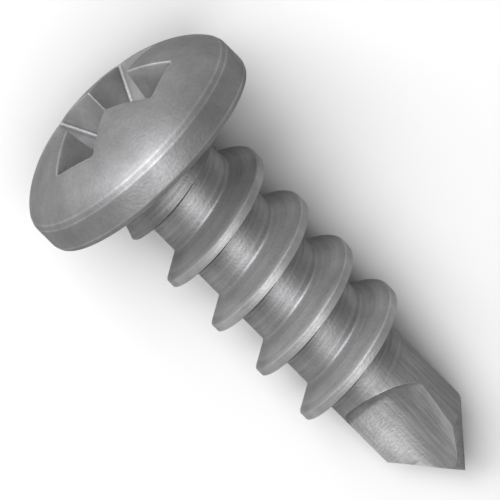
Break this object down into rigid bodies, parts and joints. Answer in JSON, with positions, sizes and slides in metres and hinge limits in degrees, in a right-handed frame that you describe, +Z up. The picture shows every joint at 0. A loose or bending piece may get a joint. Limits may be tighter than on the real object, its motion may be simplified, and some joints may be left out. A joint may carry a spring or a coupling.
{
  "type": "self drilling screw",
  "caption": "Pan head screw with a cross recess, a coarse spaced thread right up to the head and a two-flute drill point, in black steel.",
  "frame": {"origin": "bottom centre of the bounding box, with the screw lying on its side as it rests on a table", "axes": "+X along the length, towards the tip; +Z up from the table; +Y across, so that the side towards +Z is the one the picture shows"},
  "size_m": [0.0192, 0.0094, 0.0094],
  "materials": {
    "black_steel": "black oxide, satin"
  },
  "bodies": {
    "root": {"screw": "black_steel"}
  },
  "joints": []
}
